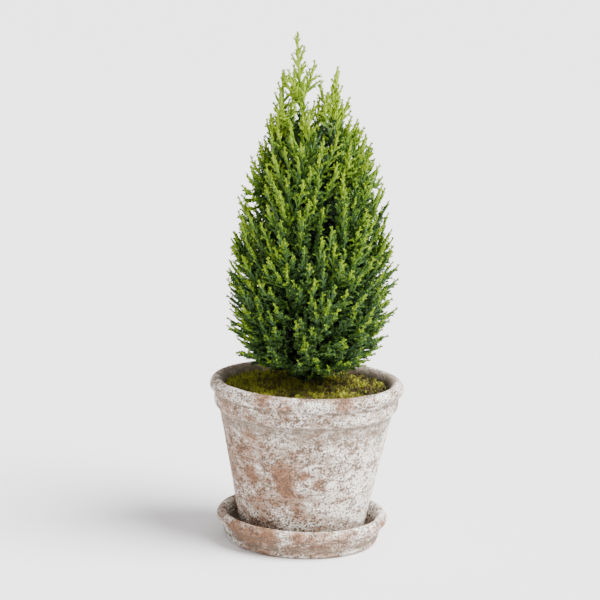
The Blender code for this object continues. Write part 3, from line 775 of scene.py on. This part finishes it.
def ring_faces(rings, sides, closed=False):
    """Quads between rings of corners that follow one another, and back to the first where it is closed."""
    ring = sides * np.arange(rings if closed else rings - 1)[:, None]
    after = (ring + sides) % (rings * sides)
    step = np.arange(sides)
    beside = (step + 1) % sides
    return np.stack([ring + step, ring + beside, after + beside, after + step], -1).reshape(-1, 4)


def placed(name, data):
    """A new object in the scene."""
    made = bpy.data.objects.new(name, data)
    bpy.context.scene.collection.objects.link(made)
    return made


def add_piece(name, corners, faces, surface, slot, replaced=(), smooth=False):
    """A mesh object that rides with the plant."""
    mesh = bpy.data.meshes.new(name)
    sides = faces.shape[1]
    mesh.vertices.add(len(corners))
    mesh.vertices.foreach_set("co", corners.astype(np.float32).ravel())
    mesh.loops.add(faces.size)
    mesh.loops.foreach_set("vertex_index", faces.astype(np.int32).ravel())
    mesh.polygons.add(len(faces))
    mesh.polygons.foreach_set("loop_start", np.arange(0, faces.size, sides, dtype=np.int32))
    mesh.update(calc_edges=True)
    mesh.validate()
    if smooth:
        mesh.shade_smooth()
    mesh.materials.append(surface)
    made = placed(name, mesh)
    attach(made, "root")
    if replaced:
        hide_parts(*replaced)


def plain_material(name, colour, roughness):
    made = bpy.data.materials.new(name)
    made.use_nodes = True
    surface = made.node_tree.nodes["Principled BSDF"]
    surface.inputs["Base Color"].default_value = (*colour, 1.0)
    surface.inputs["Roughness"].default_value = roughness
    surface.inputs["Specular IOR Level"].default_value = 0.35
    return made


class Nodes:
    """A material's node tree, with short ways to add to it."""

    MIX_FIRST, MIX_SECOND, MIX_RESULT = 6, 7, 2  # places of a mix node's colours

    def __init__(self, name, roughness):
        self.material = bpy.data.materials.new(name)
        self.material.use_nodes = True
        self.tree = self.material.node_tree
        self.surface = self.tree.nodes["Principled BSDF"]
        self.surface.inputs["Roughness"].default_value = roughness
        self.place = self.add("TexCoord", "Object", {})
        self.height = self.add("SeparateXYZ", "Z", {"Vector": self.place})
        level = self.stretched((1.0, 1.0, 0.0))
        self.radius = self.add("VectorMath", "Value", {0: level}, operation="LENGTH")

    def add(self, kind, output, inputs, **settings):
        """This output of a new node with a value or another node's output in each of these inputs."""
        node = self.tree.nodes.new(f"ShaderNode{kind}")
        for name, setting in settings.items():
            setattr(node, name, setting)
        for place, value in inputs.items():
            socket = node.inputs[place]
            if isinstance(value, bpy.types.NodeSocket):
                self.tree.links.new(value, socket)
            else:
                socket.default_value = (*value, 1.0) if socket.type == "RGBA" else value
        return node.outputs[output]

    def stretched(self, scale):
        return self.add("Mapping", "Vector", {"Vector": self.place, "Scale": scale})

    def noise(self, scale, detail=4.0, rough=0.55, place=None, distortion=0.0):
        inputs = {"Scale": scale, "Detail": detail, "Roughness": rough, "Distortion": distortion}
        return self.add("TexNoise", "Fac", {"Vector": place or self.place, **inputs})

    def between(self, value, low, high, most=1.0):
        """From 0 at the low end to this much at the high end."""
        inputs = {"Value": value, "From Min": low, "From Max": high, "To Max": most}
        return self.add("MapRange", "Result", inputs, interpolation_type="SMOOTHSTEP")

    def math(self, operation, first, second, clamped=True):
        return self.add("Math", "Value", {0: first, 1: second}, operation=operation, use_clamp=clamped)

    def blend(self, first, first_share, second, second_share):
        first = self.math("MULTIPLY", first, first_share)
        return self.math("ADD", first, self.math("MULTIPLY", second, second_share))

    def mix(self, share, first, second):
        inputs = {"Factor": share, self.MIX_FIRST: first, self.MIX_SECOND: second}
        return self.add("Mix", self.MIX_RESULT, inputs, data_type="RGBA")

    def near(self, centre, size, strength):
        """The strength at this place, falling to nothing at that distance from it."""
        away = self.add("VectorMath", "Value", {0: self.place, 1: centre}, operation="DISTANCE")
        return self.between(away, size, 0.2 * size, strength)

    def beside(self, value, middle, width):
        """1 at the middle, falling to 0 at that distance to both sides."""
        away = self.math("SUBTRACT", value, middle, clamped=False)
        return self.between(self.math("ABSOLUTE", away, 0.0), width, 0.25 * width)

    def bump(self, height, distance, strength, **under):
        inputs = {"Height": height, "Distance": distance, "Strength": strength, **under}
        return self.add("Bump", "Normal", inputs)

    def finish(self, colour, normal=None):
        self.tree.links.new(colour, self.surface.inputs["Base Color"])
        if normal is not None:
            self.tree.links.new(normal, self.surface.inputs["Normal"])
        return self.material


def clay_material():
    """Terracotta under an aged whitewash, with rubbed patches, specks, a darker rim and grooves, dirt in the
    saucer's well, painted light on the right side and painted shade on the left.
    """
    nodes = Nodes("aged_whitewash", 0.92)
    level = nodes.stretched((1.0, 1.0, 1.9))
    broad = nodes.noise(19.0, 6.0, 0.62, level, 0.4)
    ragged = nodes.noise(85.0, 8.0, 0.75, level)
    grain = nodes.noise(520.0, 6.0, 0.8)
    specks = nodes.noise(480.0, 1.0, 0.5)
    tone = nodes.noise(34.0, 9.0, 0.75, level)
    # Painted light: the tone lowered on the pot's lit right side, so that more thick whitewash shows there
    pale = at(PAINTED_LIGHT_TURN, POT_FOOT_RADIUS, PAINTED_LIGHT_HEIGHT)
    tone = nodes.math("SUBTRACT", tone, nodes.near(pale, PAINTED_LIGHT_SIZE, PAINTED_LIGHT_STRENGTH))

    wash = nodes.mix(nodes.between(tone, 0.42, 0.58), WASH_THICK, WASH_THIN)
    wash = nodes.mix(nodes.between(grain, 0.44, 0.60, 0.6), wash, WASH_GRAIN)
    # Wear, with painted shade on the pot's left side from the first spot
    wear_and_shade = nodes.blend(nodes.blend(broad, 0.4, ragged, 0.6), 0.62, grain, 0.38)
    for turn, height, size, strength in WEAR_AND_SHADE_SPOTS:
        radius = SAUCER_OUTER_RADIUS if height < SAUCER_HEIGHT else outer_wall_radius(height)
        wear_and_shade = nodes.math("ADD", wear_and_shade, nodes.near(at(turn, radius, height), size, strength))
    rubbed = nodes.mix(nodes.between(wear_and_shade, 0.485, 0.535, 0.75), wash, CLAY_RUBBED)
    clay = nodes.mix(nodes.between(grain, 0.42, 0.58), CLAY_DARK, CLAY_LIGHT)
    colour = nodes.mix(nodes.between(wear_and_shade, 0.545, 0.595, 0.88), rubbed, clay)

    clusters = nodes.between(ragged, 0.42, 0.62, 0.16)
    speck = nodes.between(nodes.math("ADD", specks, clusters), 0.570, 0.650, 0.88)
    colour = nodes.mix(speck, colour, CLAY_SPECK)
    patchy = nodes.between(ragged, 0.34, 0.56, 0.8)
    # Darker lines in the grooves, in patches
    for height, depth in GROOVES:
        groove_darkening = nodes.math("MULTIPLY", nodes.beside(nodes.height, height, depth), patchy)
        colour = nodes.mix(groove_darkening, colour, GROOVE_DARK)
    for radii, heights, most, ring_colour in DARK_RINGS:
        inside = nodes.between(nodes.radius, *radii, most)
        share = nodes.math("MULTIPLY", inside, nodes.between(nodes.height, *heights))
        colour = nodes.mix(share, colour, ring_colour)
    fine = nodes.bump(grain, 0.0007, 0.6)
    pitted = nodes.bump(specks, 0.0006, 0.4, Normal=fine)
    return nodes.finish(colour, nodes.bump(wear_and_shade, 0.0016, 0.5, Normal=pitted))


def bark_material():
    nodes = Nodes("bark", 0.85)
    fibres = nodes.noise(260.0, 5.0, 0.65, nodes.stretched((1.0, 1.0, 0.16)))
    tone = nodes.noise(60.0, 3.0)
    colour = nodes.mix(nodes.between(fibres, 0.35, 0.65), (0.012, 0.006, 0.004), (0.050, 0.025, 0.014))
    colour = nodes.mix(nodes.between(tone, 0.4, 0.7, 0.4), colour, (0.045, 0.032, 0.020))
    return nodes.finish(colour, nodes.bump(fibres, 0.0006, 0.8))


def soil_material():
    nodes = Nodes("potting_soil", 0.95)
    crumbs = nodes.noise(330.0, 6.0, 0.7)
    colour = nodes.mix(nodes.between(crumbs, 0.38, 0.66), (0.016, 0.011, 0.007), (0.075, 0.048, 0.026))
    return nodes.finish(colour, nodes.bump(crumbs, 0.001, 0.9))


def moss_material():
    nodes = Nodes("moss_cushion", 0.95)
    tufts = nodes.noise(420.0, 5.0, 0.7)
    patches = nodes.noise(70.0, 4.0, 0.6)
    colour = nodes.mix(nodes.between(tufts, 0.38, 0.66), (0.024, 0.020, 0.007), (0.085, 0.075, 0.012))
    colour = nodes.mix(nodes.between(patches, 0.52, 0.66, 0.7), colour, (0.045, 0.026, 0.011))
    return nodes.finish(colour, nodes.bump(tufts, 0.0012, 0.9))


def floor_material():
    nodes = Nodes("pale_floor", 0.8)
    tone = nodes.noise(3.0, 2.0)
    colour = nodes.mix(tone, (0.88, 0.865, 0.87), (0.89, 0.875, 0.88))
    return nodes.finish(colour)


def arc(centre_radius, centre_height, radius, start, end, steps):
    angles = np.radians(np.linspace(start, end, steps + 1))
    return [(centre_radius + radius * math.cos(a), centre_height + radius * math.sin(a)) for a in angles]


def outer_wall_radius(height):
    share = (height - POT_FOOT) / (COLLAR_LOW - POT_FOOT)
    return POT_FOOT_RADIUS + (COLLAR_LOW_RADIUS - POT_FOOT_RADIUS) * share


def inner_wall_radius(height):
    return outer_wall_radius(height) - POT_WALL


def pot_profile():
    """A closed loop: down the outside, under the foot, up through the drain hole and up the inside."""
    roll_height = RIM_HEIGHT - RIM_ROLL_RADIUS
    roll = arc(RIM_OUTER_RADIUS - RIM_ROLL_RADIUS, roll_height, RIM_ROLL_RADIUS, 170, -60, 30)
    return [
        *roll,
        (COLLAR_RADIUS - 0.0011, COLLAR_TOP + 0.0006),
        (COLLAR_RADIUS - 0.0002, COLLAR_TOP - 0.0012),
        (COLLAR_RADIUS, COLLAR_TOP - COLLAR_ROUNDING),
        (COLLAR_RADIUS - 0.0006, COLLAR_LOW + COLLAR_ROUNDING + 0.002),
        (COLLAR_RADIUS - 0.0022, COLLAR_LOW + 0.0030),
        (COLLAR_LOW_RADIUS + 0.0012, COLLAR_LOW + 0.0006),
        (COLLAR_LOW_RADIUS - 0.0004, COLLAR_LOW - 0.0012),
        (POT_FOOT_RADIUS + 0.0006, POT_FOOT + 0.0025),
        (POT_FOOT_RADIUS - 0.0012, POT_FOOT),
        (DRAIN_RADIUS, POT_FOOT),
        (DRAIN_RADIUS, POT_FLOOR),
        (inner_wall_radius(POT_FLOOR), POT_FLOOR),
        (inner_wall_radius(SOIL_EDGE), SOIL_EDGE),
    ]


def saucer_profile():
    roll_centre = SAUCER_OUTER_RADIUS - SAUCER_ROLL_RADIUS
    roll_height = SAUCER_HEIGHT - SAUCER_ROLL_RADIUS
    roll = arc(roll_centre, roll_height, SAUCER_ROLL_RADIUS, 170, -55, 26)
    return [
        (0.0003, SAUCER_FLOOR),
        (SAUCER_WELL_RADIUS - 0.004, SAUCER_FLOOR),
        (SAUCER_WELL_RADIUS, SAUCER_FLOOR + 0.003),
        *roll,
        (SAUCER_WAIST_RADIUS, SAUCER_WAIST_HEIGHT),
        (SAUCER_FOOT_RADIUS + 0.0006, 0.0016),
        (SAUCER_FOOT_RADIUS - 0.0008, 0.0),
        (0.0003, 0.0),
    ]


def fine_profile(profile, closed):
    """The profile at an even fine step, with its corners eased."""
    points = np.array(profile + [profile[0]] if closed else profile)
    runs = np.linalg.norm(np.diff(points, axis=0), axis=1)
    places = np.concatenate([[0.0], np.cumsum(runs)])
    steps = np.linspace(0.0, places[-1], round(places[-1] / LATHE_STEP) + 1)
    fine = np.stack([np.interp(steps, places, points[:, axis]) for axis in (0, 1)], 1)
    if closed:
        fine = fine[:-1]
    for _ in range(CORNER_PASSES):
        before, after = np.roll(fine, 1, axis=0), np.roll(fine, -1, axis=0)
        eased = (before + 2 * fine + after) / 4
        if not closed:
            eased[0], eased[-1] = fine[0], fine[-1]
        fine = eased
    return fine


def turned(name, profile, closed, surface, slot, replaced, steady):
    """A finely turned piece with lumps and throwing lines, but none on faces that others rest on."""
    fine = fine_profile(profile, closed)
    turn = np.linspace(0.0, 2 * math.pi, LATHE_SIDES, endpoint=False)
    along = np.gradient(fine, axis=0)
    normal = unit(np.stack([-along[:, 1], along[:, 0]], 1))
    corners = np.zeros((len(fine), LATHE_SIDES, 3))
    for row, ((radius, height), (out, up)) in enumerate(zip(fine, normal)):
        still = steady(radius, height)
        for side, angle in enumerate(turn):
            way = Vector((math.cos(angle), math.sin(angle), 0.0))
            place = way * radius + Vector((0.0, 0.0, height))
            lump = noise.noise(place / CLAY_LUMP_SPACING) * CLAY_LUMP
            pit = noise.noise(place / (CLAY_LUMP_SPACING / 5)) * CLAY_LUMP * 0.3
            wander = Vector((height / RIPPLE_SPACING, radius * 20, 0.35 * math.sin(angle)))
            push = -(lump + pit + noise.noise(wander) * RIPPLE) * still
            corners[row, side] = place + way * (out * push) + Vector((0.0, 0.0, up * push))
    faces = ring_faces(len(fine), LATHE_SIDES, closed)
    add_piece(name, corners.reshape(-1, 3), faces, surface, slot, replaced, smooth=True)


def build_pottery():
    clay = clay_material()

    def free_of_seat(_, height):
        return ramp(height - POT_FOOT, 0.002, 0.012)

    def free_of_floor(radius, height):
        if radius < SAUCER_WELL_EDGE:
            return ramp(height - SAUCER_FLOOR, 0.001, 0.009)
        return ramp(height, 0.0, 0.006)

    turned("pot_glazeless", pot_profile(), True, clay, "terracotta", ("pot",), free_of_seat)
    turned("saucer_glazeless", saucer_profile(), False, clay, "terracotta", ("saucer",), free_of_floor)


def moss_noise(x, y, plane, spacing):
    return noise.noise(Vector((x, y, plane)) / spacing)


def moss_height(x, y):
    """Height of the moss there: a dome that falls to the wall, with soft lumps."""
    radius = math.hypot(x, y)
    slope = (radius - SOIL_SEAT_RADIUS) / (inner_wall_radius(SOIL_EDGE) - SOIL_SEAT_RADIUS)
    base = SOIL_SEAT + (SOIL_EDGE - SOIL_SEAT) * max(slope, 0.0) + GAP
    lump = MOSS_LUMP * moss_noise(x, y, 3.0, MOSS_LUMP_SPACING)
    small = 0.4 * MOSS_LUMP * moss_noise(x, y, 8.0, MOSS_LUMP_SPACING / 3)
    return base + MOSS_FILL * MOSS_DEPTH + lump + small


def build_moss(rng):
    """A lumpy cushion over the soil, and the sprigs that stand on it."""
    outer = inner_wall_radius(SOIL_EDGE) - MOSS_WALL_GAP
    share = np.linspace(0.0, 1.0, MOSS_RINGS + 1)[:, None]
    radii = MOSS_HOLE_RADIUS + (outer - MOSS_HOLE_RADIUS) * share
    turn = np.linspace(0.0, 2 * math.pi, MOSS_SIDES, endpoint=False)
    corners = around(turn) * radii[..., None]
    corners[..., 0] += TRUNK_FOOT_X * (1 - share)
    corners[..., 2] = [[moss_height(x, y) for x, y, _ in ring] for ring in corners]
    faces = ring_faces(MOSS_RINGS + 1, MOSS_SIDES)
    add_piece("moss_cushion", corners.reshape(-1, 3), faces, moss_material(), "moss", ("moss",), smooth=True)

    radius = outer * np.sqrt(rng.uniform(0.006, 0.985, MOSS_SPRIGS))
    turn = rng.uniform(0.0, 2 * math.pi, MOSS_SPRIGS)
    x, y = radius * np.cos(turn), radius * np.sin(turn)
    z = np.array([moss_height(a, b) for a, b in zip(x, y)]) - 0.0008
    patch = np.array([moss_noise(a, b, 5.0, MOSS_PATCH_SPACING) for a, b in zip(x, y)])
    tilt = np.radians(rng.uniform(0.0, 75, MOSS_SPRIGS))[:, None]
    lean = rng.uniform(0.0, 2 * math.pi, MOSS_SPRIGS)
    # Patches and chance, with painted light raising the brightness to the left, in the crown's shadow
    brightness = patch - MOSS_PAINTED_LIGHT * x + rng.normal(0.0, 0.28, MOSS_SPRIGS)
    sprigs = Twigs()
    sprigs.add(
        start=np.stack([x, y, z], 1),
        way=leaning(UP, around(lean), tilt),
        length=MOSS_SPRIG_LENGTH * rng.uniform(0.6, 1.2, MOSS_SPRIGS),
        first=0.15,
        root=0.0005,
        closes=0.5,
        size=rng.uniform(0.75, 1.15, MOSS_SPRIGS),
        tint=np.digitize(-brightness, (-0.20, 0.30, 0.46)),
    )
    for index, (name, colour) in enumerate(MOSS_TINTS):
        chosen = np.flatnonzero(sprigs.column("tint") == index)
        surface = plain_material(f"moss_{name}", colour, 0.8)
        mesh = needle_mesh(sprigs, chosen, rng, MOSS_NEEDLE_ANGLE)
        add_piece(f"moss_sprigs_{name}", *mesh, surface, "moss")


def bark_relief(corners, middles, spacing):
    """Corners of a limb pushed in and out by long ridges of bark."""
    places = [Vector(corner) / spacing for corner in corners * (1.0, 1.0, BARK_STRETCH)]
    ridges = np.array([noise.noise(place) + 0.5 * noise.noise(place * 2.3) for place in places])
    return middles + (corners - middles) * (1.0 + BARK_RELIEF * ridges[:, None])


def build_trunk(bark):
    """The trunk with its flared foot and with bark in relief."""
    heights = np.arange(SOIL_SEAT + GAP, TRUNK_TOP + BARK_STEP / 2, BARK_STEP)
    points = trunk_axis(heights)
    turn = np.linspace(0.0, 2 * math.pi, BARK_SIDES, endpoint=False)
    radii = flare_radius(heights[:, None], turn)[..., None]
    rings = points[:, None] + around(turn) * radii
    corners = bark_relief(rings.reshape(-1, 3), np.repeat(points, BARK_SIDES, axis=0), TRUNK_BARK_SPACING)
    faces = ring_faces(len(heights), BARK_SIDES)
    add_piece("trunk_bark", corners, faces, bark, "bark", ("trunk",), smooth=True)


def build_boughs(masses, bark):
    """The boughs with bark in relief. The last mass, the leader, has none."""
    limbs = []
    for _, curve, end in masses[:-1]:
        points, _ = bezier(curve, np.linspace(0.0, end * BOUGH_OVERLAP, BOUGH_RINGS))
        corners, faces = tube(points, BOUGH_ROOT_RADIUS, BOUGH_TIP_RADIUS, BOUGH_SIDES)
        middles = np.repeat(points, BOUGH_SIDES, axis=0)
        limbs.append((bark_relief(corners, middles, BOUGH_BARK_SPACING), faces))
    names = [f"bough_{name}" for name, _, _ in masses[:-1]]
    add_piece("boughs_bark", *join_meshes(limbs), bark, "bark", names, smooth=True)


def build_stems(shoots, bark):
    """The woody stems of the shoots, and the green ones inside their plumes."""
    woody, green = [], []
    for curve, plume, is_stem in shoots:
        length = curve_length(curve)
        split = 1.0 - min(plume * GREEN_SHARE, length) / length
        if split > 0.04:
            points, _ = bezier(curve, np.linspace(0.0, split, STEM_RINGS))
            root_radius = BOUGH_TIP_RADIUS if is_stem else SHOOT_RADIUS
            woody.append(tube(points, root_radius, STEM_RADIUS, WOODY_SIDES))
        points, _ = bezier(curve, np.linspace(split, 0.995, STEM_RINGS))
        green.append(tube(points, STEM_RADIUS, SHOOT_TIP_RADIUS, GREEN_SIDES))
    add_piece("twigs_woody", *join_meshes(woody), bark, "bark", smooth=True)
    young = plain_material("young_stem", YOUNG_STEM, 0.6)
    add_piece("twigs_green", *join_meshes(green), young, "foliage", smooth=True)


def build_crown(masses):
    """The limbs, and all needles, dealt out by tint and then into pieces of a limited size."""
    rng = np.random.default_rng(SEED + 1)
    twigs = Twigs()
    shoots = []
    for index, (curve, layer, vigour) in enumerate(plan_shoots(masses)):
        height = curve[3][2]
        lime = rng.uniform(0.4, 1.7) * float(np.interp(height, LIME_HEIGHTS, LIME_LENGTHS))
        blue = float(np.interp(height, BLUE_HEIGHTS, BLUE_SHARES))
        look = Look(layer, lime, blue, LAYER_NEEDLES[layer] * (STRONG_NEEDLES if vigour > STRONG else 1.0))
        leafy = grow_plume(twigs, curve, look, vigour, rng)
        shoots.append((curve, leafy, index < len(masses)))
    bark = bark_material()
    build_trunk(bark)
    build_boughs(masses, bark)
    build_stems(shoots, bark)
    nodes = [f"foliage_{name}" for name, _, _ in masses]
    tints = twigs.column("tint")
    for index, (name, colour) in enumerate(TINTS):
        surface = plain_material(f"needles_{name}", colour, 0.55)
        chosen = np.flatnonzero(tints == index)
        triangles = 2 * needle_counts(twigs, chosen).sum() + 6 * len(chosen)
        for part, some in enumerate(np.array_split(chosen, math.ceil(triangles / PIECE_FACES))):
            mesh = needle_mesh(twigs, some, rng)
            add_piece(f"needles_{name}_{part + 1}", *mesh, surface, "foliage", nodes)


def build_stage():
    """A pale floor, soft light all round and a broad soft key light from the upper right."""
    mesh = bpy.data.meshes.new("floor")
    far = FLOOR_REACH
    mesh.from_pydata([(-far, -far, 0), (far, -far, 0), (far, far, 0), (-far, far, 0)], [], [(0, 1, 2, 3)])
    mesh.materials.append(floor_material())
    floor = placed("floor", mesh)

    world = bpy.data.worlds.new("studio")
    world.use_nodes = True
    sky = world.node_tree.nodes["Background"].inputs
    sky["Color"].default_value = SKY_COLOUR
    sky["Strength"].default_value = SKY_STRENGTH
    bpy.context.scene.world = world

    light = bpy.data.lights.new("key", "SUN")
    light.energy = KEY_STRENGTH
    light.angle = math.radians(KEY_SOFTNESS)
    toward = leaning(around(math.radians(KEY_TURN)), UP, math.radians(KEY_RISE))
    placed("key", light).rotation_euler = Vector(toward).to_track_quat("Z", "Y").to_euler()


def build_camera():
    """The camera on its stand, turned about it, tilted down and then rolled."""
    camera = bpy.data.cameras.new("camera")
    camera.lens = CAMERA_LENS
    camera.sensor_width = CAMERA_SENSOR
    made = placed("camera", camera)
    made.matrix_world = (
        Matrix.Translation((0.0, -CAMERA_DISTANCE, CAMERA_HEIGHT))
        @ Matrix.Rotation(-CAMERA_TURN, 4, "Z")
        @ Matrix.Rotation(math.pi / 2 - CAMERA_DOWN, 4, "X")
        @ Matrix.Rotation(CAMERA_ROLL, 4, "Z")
    )
    bpy.context.scene.camera = made


def main():
    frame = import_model()
    build_camera()
    build_stage()
    build_pottery()
    build_moss(np.random.default_rng(SEED + 2))
    build_crown(plan_masses())
    soil = frame["nodes"]["soil"]
    soil.data.materials.clear()
    soil.data.materials.append(soil_material())


main()
